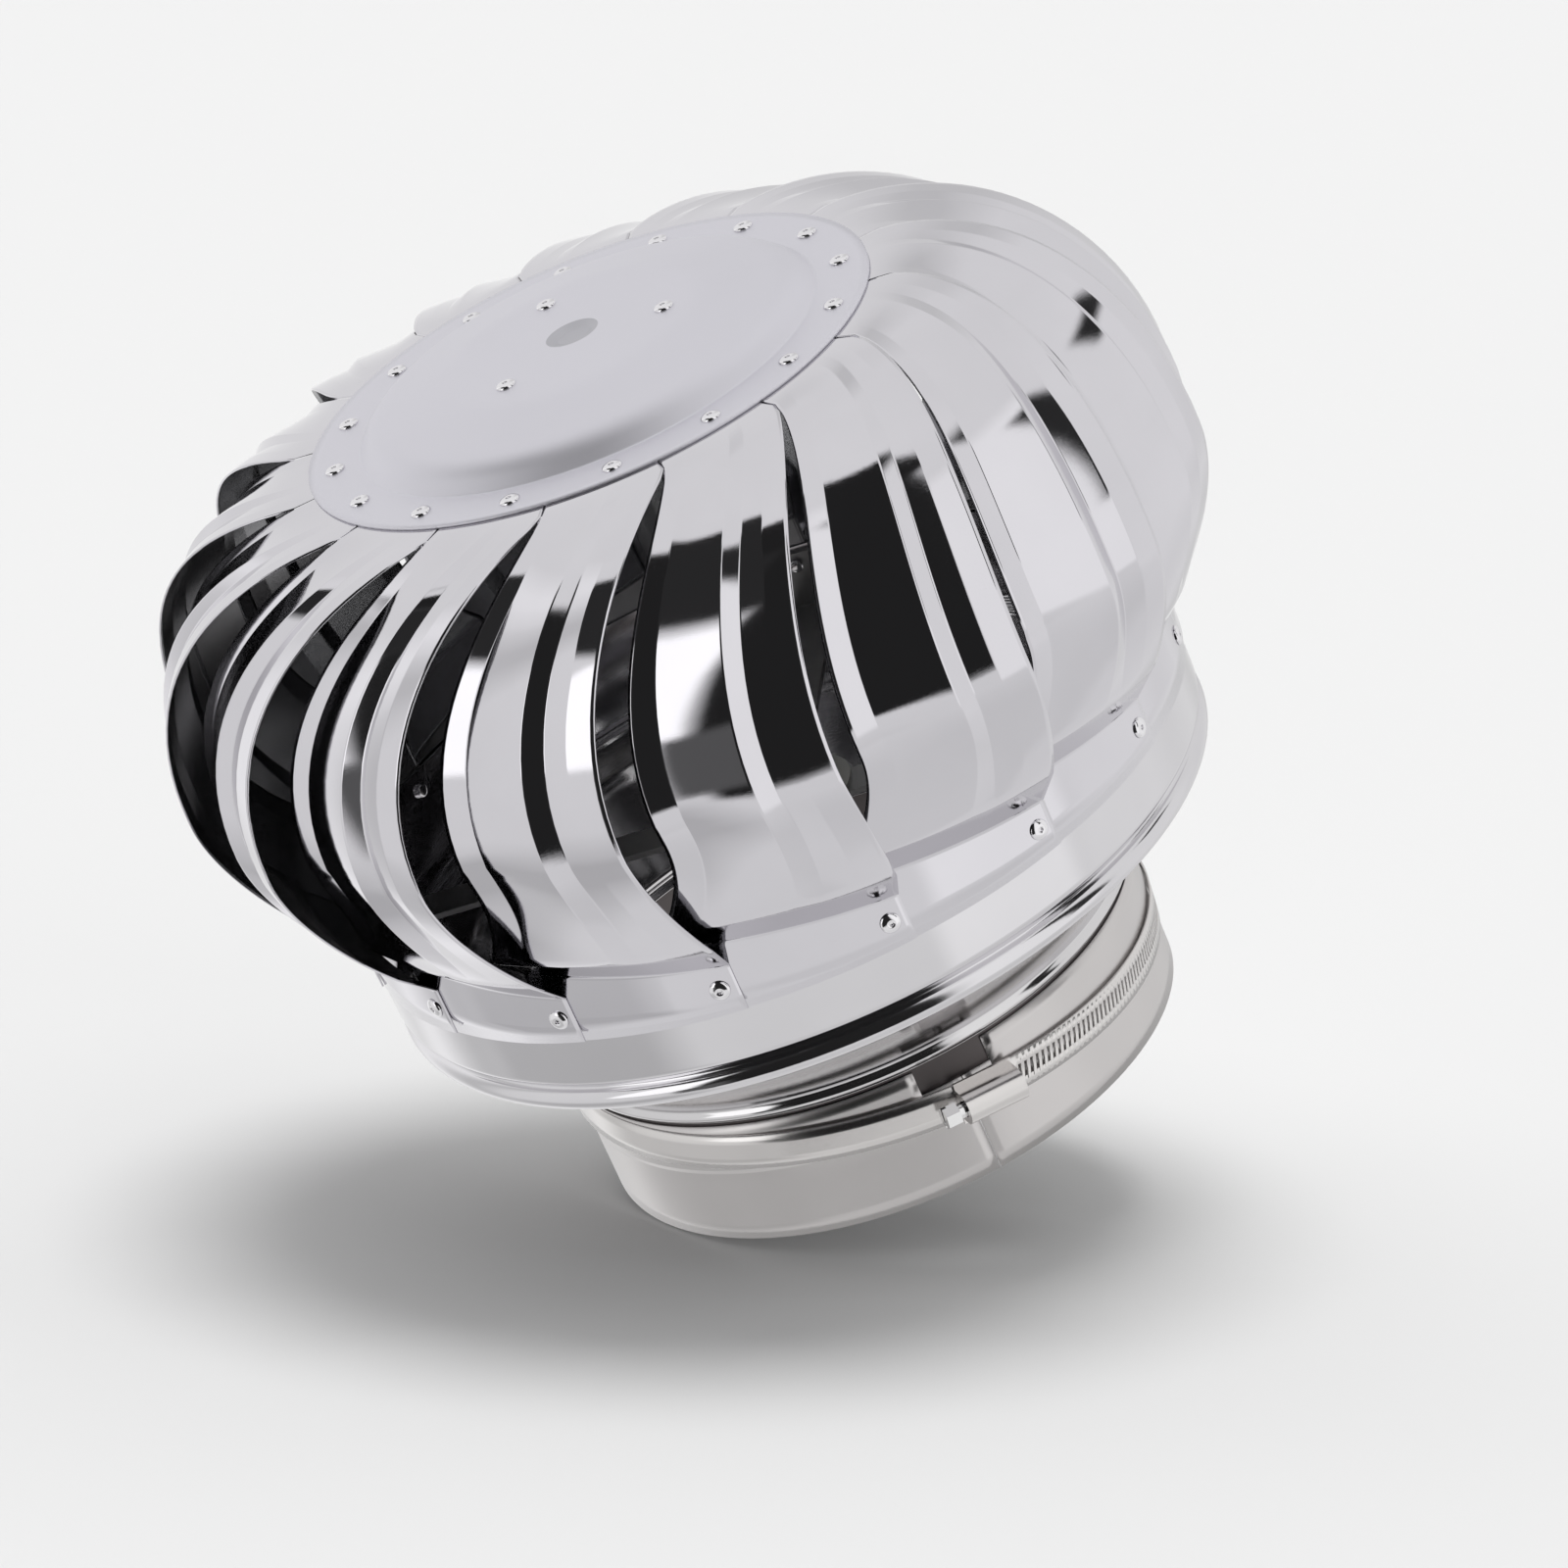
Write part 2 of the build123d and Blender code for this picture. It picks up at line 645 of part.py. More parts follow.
def ball_groove(bottom):
    """Cutter for the groove in which the balls run."""
    return Pos(0, 0, bottom + bearing_width / 2) * Torus(race_pitch_r, bearing_ball_r + groove_gap)


def make_balls(bottom):
    """Balls of a bearing."""
    ball = Pos(0, -race_pitch_r, bottom + bearing_width / 2) * Sphere(bearing_ball_r)
    return Compound(children=around(bearing_balls, 0, ball))


def make_cage(bottom):
    """Cage that spaces the balls: a ring with one round pocket for each."""
    middle = bottom + bearing_width / 2
    cage = tube(race_pitch_r + cage_wall / 2, race_pitch_r - cage_wall / 2,
                middle - cage_height / 2, middle + cage_height / 2)
    pocket = radial(Cylinder(bearing_ball_r + groove_gap, 4 * cage_wall), 0, race_pitch_r, middle)
    for cutter in around(bearing_balls, 0, pocket):
        cage -= cutter
    return cage


def make_shields(bottom):
    """Two thin rings that close a bearing above and below its balls."""
    outer = race_pitch_r + race_land - seat_gap / 2
    inner = race_pitch_r - race_land + running_gap
    low = tube(outer, inner, bottom, bottom + shield_sheet)
    high = tube(outer, inner, bottom + bearing_width - shield_sheet, bottom + bearing_width)
    return Compound(children=[low, high])


def make_cap_rivets():
    """Rivets through the cap's rim and the blades' tabs."""
    piece = Pos(0, -cap_rivet_r, cap_top_z) * rivet(shell_sheet + seat_gap + blade_sheet)
    return Compound(children=around(blade_count, first_blade_azimuth + cap_rivet_turn, piece))


def make_dome_rivets():
    """Rivets that hold the upper bearing cup under the dome."""
    piece = Pos(0, -dome_rivet_r, cap_top_z + dome_height) * rivet(shell_sheet + cup_sheet)
    return Compound(children=around(dome_rivets_count, dome_rivet_azimuth, piece))


def make_ring_rivets():
    """Rivets through two lapped feet and the ring; four of them also hold the spider's ends."""
    seat = foot_r + seat_gap
    thin = seat - ring_inner_r
    thick = thin + seat_gap + spider_sheet
    rivets = []
    for index in range(blade_count):
        shared = index % (blade_count // spider_arms) == 0
        azimuth = first_blade_azimuth + ring_rivet_azimuth + index * pitch
        rivets.append(radial(rivet(thick if shared else thin), azimuth, seat, ring_rivet_z))
    return Compound(children=rivets)


def make_cup_rivets():
    """Rivets that hold the lower bearing cup on the spider."""
    top = spider_z + spider_sheet + cup_sheet
    return Compound(children=cup_rivet_places(Pos(0, 0, top) * rivet(spider_sheet + cup_sheet)))


def make_parts():
    """Every node by name."""
    bearing_top = upper_bearing_z + bearing_width
    bracket_top = bracket_z + bracket_sheet
    parts = {
        "neck_collar": make_collar(),
        "throat": make_throat(),
        "clamp_band": make_band(),
        "clamp_housing": make_housing(),
        "clamp_screw": make_screw(),
        "base_bracket": make_bracket(),
        "axle": make_axle(),
        "axle_foot_nut": hex_nut(foot_nut_across, foot_nut_height, bearing_bore_r,
                                 foot_washer_z - foot_nut_height),
        "axle_foot_washer": tube(foot_washer_r, bearing_bore_r + seat_gap, foot_washer_z, bracket_z),
        "axle_spacer": tube(spacer_r, bearing_bore_r + seat_gap / 2, bracket_top, lower_bearing_z),
        "axle_top_washer": tube(spacer_r, thread_r + seat_gap, bearing_top, top_nut_z),
        "axle_top_nut": hex_nut(top_nut_across, top_nut_height, thread_r, top_nut_z),
        "top_cap": make_cap(),
        "cap_rivets": make_cap_rivets(),
        "dome_rivets": make_dome_rivets(),
        "lower_ring": make_lower_ring(),
        "ring_rivets": make_ring_rivets(),
        "lower_spider": make_spider(),
        "lower_bearing_cup": make_lower_cup(),
        "lower_cup_rivets": make_cup_rivets(),
        "upper_bearing_cup": make_upper_cup(),
        "upper_circlip": make_circlip(),
    }
    for name, bottom in (("lower", lower_bearing_z), ("upper", upper_bearing_z)):
        parts[name + "_inner_race"] = make_inner_race(bottom)
        parts[name + "_outer_race"] = make_outer_race(bottom)
        parts[name + "_balls"] = make_balls(bottom)
        parts[name + "_cage"] = make_cage(bottom)
        parts[name + "_shields"] = make_shields(bottom)
    blade = make_blade()
    for index in range(blade_count):
        parts[f"blade_{index + 1:02d}"] = Rot(Z=first_blade_azimuth + index * pitch) * blade
    return parts


os.makedirs("parts", exist_ok=True)
for node, shape in make_parts().items():
    export_step(shape, f"parts/{node}.step")
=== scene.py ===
"""Looks of the roof turbine ventilator: smooth polished blades, spun rings, rivets, worm clamp and studio.

Metres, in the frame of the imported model. An azimuth is measured anticlockwise seen from above, from the -Y
direction, which is the front.
"""
from math import sin, cos, tan, pi, radians, degrees, hypot, atan2, sqrt
import bpy
import bmesh
from mathutils import Matrix, Vector


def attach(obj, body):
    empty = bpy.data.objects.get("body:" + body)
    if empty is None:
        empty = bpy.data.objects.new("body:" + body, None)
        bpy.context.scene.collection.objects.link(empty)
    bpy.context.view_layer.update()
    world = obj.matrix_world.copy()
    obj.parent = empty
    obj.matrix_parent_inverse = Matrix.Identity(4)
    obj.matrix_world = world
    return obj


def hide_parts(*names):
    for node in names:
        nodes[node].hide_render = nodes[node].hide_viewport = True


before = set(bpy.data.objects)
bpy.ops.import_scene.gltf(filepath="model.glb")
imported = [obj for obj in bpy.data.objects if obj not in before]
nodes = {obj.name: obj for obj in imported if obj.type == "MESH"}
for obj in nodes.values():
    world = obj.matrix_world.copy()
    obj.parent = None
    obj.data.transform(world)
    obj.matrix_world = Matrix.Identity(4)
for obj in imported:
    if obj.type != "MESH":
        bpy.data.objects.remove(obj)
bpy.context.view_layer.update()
mm = 0.001

# Sheet metal
blade_sheet = 0.6 * mm
shell_sheet = 0.7 * mm
lap_step = 0.75 * mm

# Ball of blades
blade_count = 16
pitch = 360.0 / blade_count
ball_r = 178.5 * mm
equator_z = 190.0 * mm
shoulder_r = 105.0 * mm
tab_z = 273.0 * mm
tab_inner_r = 81.0 * mm
fold_z = 140.0 * mm
fold_r = 156.5 * mm
fold_rise = 10.0 * mm
foot_r = 145.7 * mm
foot_top_z = 128.4 * mm
foot_bottom_z = 112.0 * mm
ball_squareness = 2.13
ball_taper = 1.7
ball_roundness = 0.58
first_blade_azimuth = -6.35
blade_sweep_angle = 21.1
foot_return_angle = 2.4
body_angle = 19.4
opening_depth = 12.0 * mm
tab_rows = (tab_inner_r, 90.0 * mm, 97.0 * mm, 102.0 * mm)
tab_gap = 0.15 * mm
fold_tilt = -45
foot_margin = degrees(6.0 * mm / foot_r)
foot_angle = pitch + 2 * foot_margin
foot_edge = pitch / 2 - (blade_sweep_angle - foot_return_angle)
# How a blade's values change from the equator, as powers of the way to the shoulder or to the fold.
shoulder_powers = {"edge": 2, "width": 3, "depth": 3, "roundness": 4}
fold_powers = {"edge": 1.3, "width": 2.2, "depth": 2.5, "roundness": 3, "rise": 2}
# Below the equator a blade steps inwards under its neighbour: the share of its width where the step starts,
# and the share over which it grows.
lap_start = 0.33
lap_reach = 0.5
# Pressed section across a blade, from its free edge: a groove, then the main face that slopes inwards.
# Places are shares of the width, and depths are shares of the opening's depth.
rib_places = (0.0, 0.169, 0.315, 0.431, 0.838, 1.0)
rib_depths = (0.0, 0.14, 0.37, 0.16, 0.86, 0.87)
crease_half = 0.008
columns_across = 36

# Cap
cap_middle_z = 273.4 * mm
cap_rim_r = 96.8 * mm
dome_base_r = 78.6 * mm
dome_side_r = 72.1 * mm
dome_side_rise = 6.57 * mm
dome_crown_r = 43.0 * mm
dome_height = 12.4 * mm
dimple_r = 9.0 * mm
dimple_depth = 1.2 * mm
dimple_floor_share = 0.6
cap_bends = (2.0 * mm, 20.0 * mm, 40.0 * mm, 1.6 * mm, 1.6 * mm)

# Lower ring
ring_outer_r = 144.2 * mm
ring_top_z = 127.0 * mm
ring_bend_z = 94.6 * mm
ring_waist_r = 141.1 * mm
ring_waist_z = 91.4 * mm
ring_bead_center_r = 140.3 * mm
ring_bead_z = 87.0 * mm
ring_bead_r = 4.0 * mm
ring_bead_start = 115
ring_bead_turn = 320
ring_bend_r = 4.0 * mm

# Throat and collar
spigot_middle_r = 101.3 * mm
spigot_bottom_z = 29.0 * mm
throat_bead_r = 103.9 * mm
throat_bead_bottom_z = 46.8 * mm
throat_bead_top_z = 52.3 * mm
throat_mouth_r = 129.5 * mm
throat_mouth_z = 98.0 * mm
throat_shares = ((0.32, 0.24), (0.82, 0.65))
throat_bends = (0.7 * mm, 1.8 * mm, 1.8 * mm, 14.0 * mm, 24.0 * mm)
collar_lower_r = 101.35 * mm
collar_upper_r = 102.05 * mm
collar_seat_z = 26.5 * mm
collar_step_z = 28.5 * mm
collar_height = 46.0 * mm
collar_bend_r = 0.8 * mm
collar_slit = 0.35 * mm
collar_slit_turn = -3
collar_notch_width = 25.0 * mm
collar_notch_depth = 9.0 * mm
collar_notch_turn = -4

# Rivets
rivet_r = 1.6 * mm
rivet_head_r = 3.4 * mm
rivet_head_height = 1.3 * mm
rivet_tail_r = 2.4 * mm
rivet_tail_length = 1.6 * mm
rivet_rim_height = 0.12 * mm
rivet_crown_r = 1.15 * mm
rivet_hole = ((1.1 * mm, 0.0), (0.8 * mm, 0.15 * mm), (0.65 * mm, 0.8 * mm), (0.0, 0.85 * mm))
cap_rivet_r = 87.5 * mm
cap_rivet_turn = 2.85
cap_rivet_grip = 1.35 * mm
dome_rivet_r = 32.4 * mm
dome_rivet_azimuth = -52.8
dome_rivet_grip = 2.2 * mm
ring_rivet_z = 120.9 * mm
ring_rivet_azimuth = foot_edge - foot_margin
ring_rivet_grip = 2.25 * mm
arm_rivet_grip = 4.3 * mm

# Clamp
clamp_z = 31.0 * mm
clamp_tilt = 5.0
clamp_azimuth = 13.0
band_width = 12.7 * mm
band_sheet = 0.7 * mm
band_inner_r = 103.0 * mm
band_slot_angle = 1.32
band_slot_height = 5.2 * mm
band_slot_slant = 0.55
band_slots_start = 6.5
band_slots_end = 200.0

# Camera: the directions of its right, up and back sides, its place, and its lens in millimetres
camera_right = (0.9143, -0.1768, -0.3644)
camera_up = (0.4050, 0.3947, 0.8247)
camera_back = (-0.0019, -0.9016, 0.4325)
camera_place = (0.0, -1.72082, 0.93511)
camera_lens = 131.852
camera_sensor = 36.0

# Finishes
smudge_scale = 22.0
grain_height = 0.02 * mm
wave_height = 0.5 * mm

# Floor
floor_up = (0.396, 0.198, 0.897)
floor_gap = 1 * mm
floor_reach = 9.0

# Studio: the tent's brightness, the lamp, and the cards in the tent, each later one over the earlier ones.
# A card is (brightness, (azimuth, elevation, width, height, softness)) with its angles in degrees.
tent_level = 0.90
tent_slope = 0.0006
floor_colour = 0.705
backdrop_level = 0.88
lamp_level = 1.65
lamp_angle = 28.0
studio_cards = (
    (0.60, (-84.0, -36.0, 62.0, 28.0, 14.0)),
    (0.96, (92.0, 0.0, 44.0, 90.0, 14.0)),
    (0.80, (25.0, -66.0, 130.0, 40.0, 16.0)),
    (0.70, (-118.0, 5.0, 14.0, 100.0, 10.0)),
    (1.10, (-140.0, 0.0, 14.0, 110.0, 10.0)),
    (0.72, (160.0, -10.0, 22.0, 100.0, 14.0)),
    (0.02, (-15.0, 27.0, 67.0, 100.0, 3.0)),
    (0.02, (-40.0, 83.0, 140.0, 18.0, 3.0)),
    (1.10, (46.0, 12.0, 44.0, 92.0, 5.0)),
    (0.03, (63.0, 25.0, 13.0, 56.0, 2.5)),
    (0.03, (101.0, 30.0, 15.0, 9.0, 2.5)),
    (0.03, (-80.0, 64.0, 110.0, 24.0, 3.0)),
    (0.12, (-47.0, -4.0, 14.0, 26.0, 3.0)),
    (1.55, (-62.0, 29.0, 23.0, 40.0, 2.0)),
)


def new_material(name):
    """Empty node material with its output, as (material, nodes, links, output)."""
    material = bpy.data.materials.new(name)
    material.use_nodes = True
    tree = material.node_tree
    tree.nodes.clear()
    output = tree.nodes.new("ShaderNodeOutputMaterial")
    return material, tree.nodes, tree.links, output


def add(tree_nodes, kind, **values):
    """New shader node with some of its settings."""
    node = tree_nodes.new(kind)
    for key, value in values.items():
        setattr(node, key, value)
    return node


def noise(tree_nodes, links, coordinates, scale, detail, stretch=(1.0, 1.0, 1.0)):
    """Noise over the piece, stretched along an axis."""
    mapping = add(tree_nodes, "ShaderNodeMapping")
    mapping.inputs["Scale"].default_value = stretch
    links.new(coordinates, mapping.inputs["Vector"])
    texture = add(tree_nodes, "ShaderNodeTexNoise")
    texture.inputs["Scale"].default_value = scale
    texture.inputs["Detail"].default_value = detail
    links.new(mapping.outputs["Vector"], texture.inputs["Vector"])
    return texture.outputs["Fac"]


def ramp(tree_nodes, links, factor, low, high, colours):
    """Colour ramp of two colours over a range of the factor."""
    node = add(tree_nodes, "ShaderNodeValToRGB")
    node.color_ramp.elements[0].position = low
    node.color_ramp.elements[1].position = high
    node.color_ramp.elements[0].color = (*colours[0], 1.0)
    node.color_ramp.elements[1].color = (*colours[1], 1.0)
    links.new(factor, node.inputs["Fac"])
    return node.outputs["Color"]


def spread(tree_nodes, links, factor, low, high):
    """Maps a factor from 0 to 1 onto a range of numbers."""
    node = add(tree_nodes, "ShaderNodeMapRange")
    node.inputs["To Min"].default_value = low
    node.inputs["To Max"].default_value = high
    links.new(factor, node.inputs["Value"])
    return node.outputs["Result"]


def steel(name, colour, roughness, wave=0.0, wave_scale=30.0, grain=0.0, grain_stretch=(1.0, 1.0, 40.0),
          grain_scale=300.0, smudge=0.02, tint=0.96):
    """Metal with slow waves in the sheet, fine polishing lines, and faint smudges."""
    material, tree_nodes, links, output = new_material(name)
    coordinates = add(tree_nodes, "ShaderNodeTexCoord").outputs["Object"]
    shader = add(tree_nodes, "ShaderNodeBsdfPrincipled")
    shader.inputs["Metallic"].default_value = 1.0
    links.new(shader.outputs["BSDF"], output.inputs["Surface"])
    smudges = noise(tree_nodes, links, coordinates, smudge_scale, 5.0)
    lines = noise(tree_nodes, links, coordinates, grain_scale, 2.0, grain_stretch)
    darker = tuple(c * tint for c in colour)
    links.new(ramp(tree_nodes, links, smudges, 0.35, 0.65, (darker, colour)), shader.inputs["Base Color"])
    links.new(spread(tree_nodes, links, smudges, max(roughness - smudge, 0.0), roughness + smudge),
              shader.inputs["Roughness"])
    fine = add(tree_nodes, "ShaderNodeBump")
    fine.inputs["Strength"].default_value = grain
    fine.inputs["Distance"].default_value = grain_height
    links.new(lines, fine.inputs["Height"])
    slow = add(tree_nodes, "ShaderNodeBump")
    slow.inputs["Strength"].default_value = wave
    slow.inputs["Distance"].default_value = wave_height
    waves = noise(tree_nodes, links, coordinates, wave_scale, 1.0)
    links.new(waves, slow.inputs["Height"])
    links.new(fine.outputs["Normal"], slow.inputs["Normal"])
    links.new(slow.outputs["Normal"], shader.inputs["Normal"])
    return material


def make_materials():
    """Every finish by name."""
    grey = (0.80, 0.79, 0.81)
    even = (1.0, 1.0, 1.0)
    return {
        "blade": steel("blade_mirror", (0.66, 0.648, 0.68), 0.05, 0.30, 26.0, 0.15, smudge=0.02),
        # The blades' inner side is the same steel with its colour darkened: painted shade of the dark inside
        # of the ball.
        "blade_inner_shade": steel("blade_inside_painted_shade", (0.30, 0.30, 0.31), 0.22, 0.10, 26.0, 0.4, smudge=0.05),
        "throat": steel("throat_mirror", (0.64, 0.63, 0.64), 0.07, 0.05, 18.0, 0.2, smudge=0.02),
        # Near-black copy of the throat steel for the spigot: painted shade where it shows through the
        # collar's notch and slit.
        "spigot_shade": steel("spigot_painted_shade", (0.10, 0.09, 0.09), 0.35, 0.0, 18.0, 0.4, smudge=0.05),
        "ring": steel("ring_mirror", (0.67, 0.66, 0.68), 0.09, 0.05, 18.0, 0.2, smudge=0.02),
        "cap": steel("cap_satin", (0.76, 0.75, 0.80), 0.52, 0.03, 20.0, 0.5, even, 500.0, 0.04, 0.98),
        # Darker copy of the cap steel for the dimple: painted shade in its hollow.
        "dimple": steel("dimple_painted_shade", (0.56, 0.555, 0.59), 0.50, 0.03, 20.0, 0.5, smudge=0.04),
        "collar": steel("collar_satin", (0.60, 0.58, 0.575), 0.30, 0.02, 14.0, 0.5, smudge=0.03),
        "clamp": steel("clamp_strip", (0.68, 0.66, 0.65), 0.20, 0.0, 20.0, 0.4, smudge=0.03),
        "screw": steel("screw_plated", (0.75, 0.75, 0.75), 0.14, 0.0, 20.0, 0.3, smudge=0.04),
        "rivet": steel("rivet_bright", grey, 0.10, 0.0, 20.0, 0.1, smudge=0.03),
        "bracket": steel("bracket_mill", (0.45, 0.45, 0.45), 0.38, 0.0, 20.0, 0.8, smudge=0.08, tint=0.85),
        "axle": steel("axle_turned", (0.60, 0.60, 0.60), 0.22, 0.0, 20.0, 1.0, (1.0, 1.0, 60.0), 200.0, 0.05),
        "zinc": steel("zinc_plated", (0.60, 0.60, 0.57), 0.34, 0.0, 20.0, 0.4, even, 700.0, 0.08, 0.82),
        "spring": steel("spring_black", (0.10, 0.10, 0.10), 0.40, 0.0, 20.0, 0.3, smudge=0.05),
        "bearing": steel("bearing_ground", (0.70, 0.70, 0.71), 0.08, 0.0, 20.0, 0.2, smudge=0.02),
        "cage": steel("cage_pressed", (0.55, 0.53, 0.48), 0.30, 0.0, 20.0, 0.4, smudge=0.05),
        "shield": steel("shield_pressed", (0.55, 0.55, 0.55), 0.32, 0.0, 20.0, 0.5, smudge=0.05),
        # Near-black steel: painted shade for slots.
        "dark": steel("slot_painted_shade", (0.04, 0.04, 0.04), 0.55, 0.0, 20.0, 0.2, smudge=0.05),
    }


def polar(radius, azimuth, height):
    """Point at a radius, an azimuth and a height."""
    angle = radians(azimuth)
    return Vector((radius * sin(angle), -radius * cos(angle), height))


def turned(azimuth):
    """Turn about the spin axis."""
    return Matrix.Rotation(radians(azimuth), 4, "Z")


def mesh_piece(name, points, faces, materials, smooth=True):
    """Object from points and faces, with its materials."""
    mesh = bpy.data.meshes.new(name)
    mesh.from_pydata([tuple(p) for p in points], [], faces)
    mesh.validate()
    for polygon in mesh.polygons:
        polygon.use_smooth = smooth
    for material in materials:
        mesh.materials.append(material)
    piece = bpy.data.objects.new(name, mesh)
    bpy.context.scene.collection.objects.link(piece)
    return piece


def give_wall(piece, thickness, inner=0, offset=-1.0):
    """Thickness for a sheet: inwards at offset -1, both ways at 0. Its other side's material is inner."""
    wall = piece.modifiers.new("wall", "SOLIDIFY")
    wall.thickness = thickness
    wall.offset = offset
    wall.use_even_offset = True
    wall.material_offset = inner


def grid_faces(rows, columns, closed=False):
    """Faces of a grid of points, row by row."""
    faces = []
    for row in range(rows - 1):
        for column in range(columns if closed else columns - 1):
            after = (column + 1) % columns
            faces.append((row * columns + column, row * columns + after,
                          (row + 1) * columns + after, (row + 1) * columns + column))
    return faces


def meridian(place):
    """Outer line of the ball, as (radius, height): 1 is the shoulder, 0 the equator, -1 the fold."""
    if place >= 0:
        angle = radians(90 * min(place, 1.0))
        power = 2 / ball_squareness
        across = max(cos(angle), 0.0) ** power
        up = sin(angle) ** power
        return shoulder_r + (ball_r - shoulder_r) * across, equator_z + (tab_z - equator_z) * up
    drop = -place
    return ball_r - (ball_r - fold_r) * drop ** ball_taper, equator_z - (equator_z - fold_z) * drop


def outward(place):
    """Unit vector, as (radius, height), that points out of the ball at a place on its outer line."""
    below = meridian(place - 0.01)
    above = meridian(min(place + 0.01, 1.0))
    run = above[0] - below[0]
    rise = above[1] - below[1]
    size = hypot(run, rise)
    return rise / size, -run / size


def station(place):
    """Values of one cross-section of a blade, in the order in which section_point takes them apart."""
    radius, height = meridian(place)
    reach = abs(place)
    if place >= 0:
        edge = pitch / 2 - blade_sweep_angle * (1 - reach ** shoulder_powers["edge"])
        width = body_angle + (pitch - body_angle) * reach ** shoulder_powers["width"]
        depth = opening_depth * (1 - reach ** shoulder_powers["depth"])
        roundness = ball_roundness * (1 - reach ** shoulder_powers["roundness"])
        return radius, height, outward(place), edge, width, depth, 0.0, roundness, 0.0
    edge = pitch / 2 - blade_sweep_angle + foot_return_angle * reach ** fold_powers["edge"]
    width = body_angle + (foot_angle - body_angle) * reach ** fold_powers["width"]
    depth = opening_depth * (1 - reach ** fold_powers["depth"])
    roundness = ball_roundness + (1 - ball_roundness) * reach ** fold_powers["roundness"]
    rise = fold_rise * reach ** fold_powers["rise"]
    return radius, height, outward(place), edge, width, depth, lap_step, roundness, rise


def foot_station(share, height, rise=fold_rise):
    """Cross-section between the fold, share 0, and the foot, share 1."""
    radius = fold_r + (foot_r - fold_r) * share
    tilt = radians(fold_tilt * (1 - share))
    return radius, height, (cos(tilt), sin(tilt)), foot_edge, foot_angle, 0.0, lap_step, 1.0, rise


def rib_depth(across):
    """Depth of the pressed section at a share of the blade's width, as a share of the opening's depth."""
    for i in range(len(rib_places) - 1):
        if across <= rib_places[i + 1]:
            share = (across - rib_places[i]) / (rib_places[i + 1] - rib_places[i])
            return rib_depths[i] + (rib_depths[i + 1] - rib_depths[i]) * share
    return rib_depths[-1]


def across_places():
    """Where the blade's mesh has its columns: near every crease, and evenly between them."""
    places = set()
    for start, end in zip(rib_places, rib_places[1:]):
        count = max(2, round((end - start) * columns_across))
        for i in range(count + 1):
            places.add(round(start + (end - start) * i / count, 4))
    for place in rib_places[1:-1]:
        places.update((round(place - crease_half, 4), round(place + crease_half, 4)))
    return sorted(places)


def section_point(values, across):
    """Point of a blade's outer face at a share of its width, from the free edge."""
    radius, height, out, edge, width, depth, lap, roundness, rise = values
    share = rib_depth(across)
    inward = depth * share + lap * min(max(across - lap_start, 0.0) / lap_reach, 1.0)
    azimuth = edge - width * across
    middle = edge - width / 2
    bend = cos(radians(width / 2)) / max(cos(radians(azimuth - middle)), 0.5)
    distance = (radius - inward * out[0]) * (1 + (bend - 1) * (1 - roundness))
    run = distance * sin(radians(azimuth - middle)) / (2 * radius * sin(radians(width / 2)))
    return polar(distance, azimuth, height - inward * out[1] + rise * (0.5 - run))


def make_blade_mesh():
    """Outer face of one blade, from its tab to its foot."""
    rows = []
    columns = across_places()
    for distance in tab_rows:
        half = distance * tan(radians(pitch / 2)) - tab_gap
        rows.append([Vector((half - 2 * half * a, -distance, tab_z)) for a in columns])
    places = [1 - 0.035 * i for i in range(1, 20)]
    places += [0.33 - 0.045 * i for i in range(1, 29)] + [-1.0]
    for place in places:
        values = station(place)
        rows.append([section_point(values, a) for a in columns])
    for share in (0.12, 0.3, 0.5, 0.7, 0.88, 0.97, 1.0):
        values = foot_station(share, fold_z + (foot_top_z - fold_z) * share)
        rows.append([section_point(values, a) for a in columns])
    for share in (0.05, 0.3, 0.65, 1.0):
        height = foot_top_z + (foot_bottom_z - foot_top_z) * share
        rows.append([section_point(foot_station(1.0, height, fold_rise * (1 - share)), a) for a in columns])
    points = [p for row in rows for p in row]
    return points, grid_faces(len(rows), len(columns))


def make_blades(materials):
    """Sixteen blades, which stand for the plain ones."""
    points, faces = make_blade_mesh()
    for index in range(blade_count):
        turn = turned(first_blade_azimuth + index * pitch)
        piece = mesh_piece(f"polished_blade_{index + 1:02d}", [turn @ p for p in points], faces,
                           [materials["blade"], materials["blade_inner_shade"]])
        # The wall's inner side takes the darkened blade steel, painted shade of the ball's inside.
        give_wall(piece, blade_sheet, inner=1)
        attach(piece, "rotor")
        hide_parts(f"blade_{index + 1:02d}")


def rounded(points, radii, steps=6):
    """Line of (radius, height) points whose inner corners are rounded."""
    line = [points[0]]
    for before, corner, after, radius in zip(points, points[1:], points[2:], radii):
        back = Vector(before) - Vector(corner)
        ahead = Vector(after) - Vector(corner)
        turn = pi - back.angle(ahead)
        reach = min(radius * tan(turn / 2), 0.49 * back.length, 0.49 * ahead.length)
        start = Vector(corner) + back.normalized() * reach
        end = Vector(corner) + ahead.normalized() * reach
        for i in range(steps + 1):
            t = i / steps
            line.append(tuple(start * (1 - t) ** 2 + Vector(corner) * (2 * t * (1 - t)) + end * t ** 2))
    line.append(points[-1])
    return line


def finer(line, step):
    """The same line with more points on its long stretches."""
    result = [line[0]]
    for start, end in zip(line, line[1:]):
        count = max(1, round(hypot(end[0] - start[0], end[1] - start[1]) / step))
        for i in range(1, count + 1):
            result.append((start[0] + (end[0] - start[0]) * i / count,
                           start[1] + (end[1] - start[1]) * i / count))
    return result


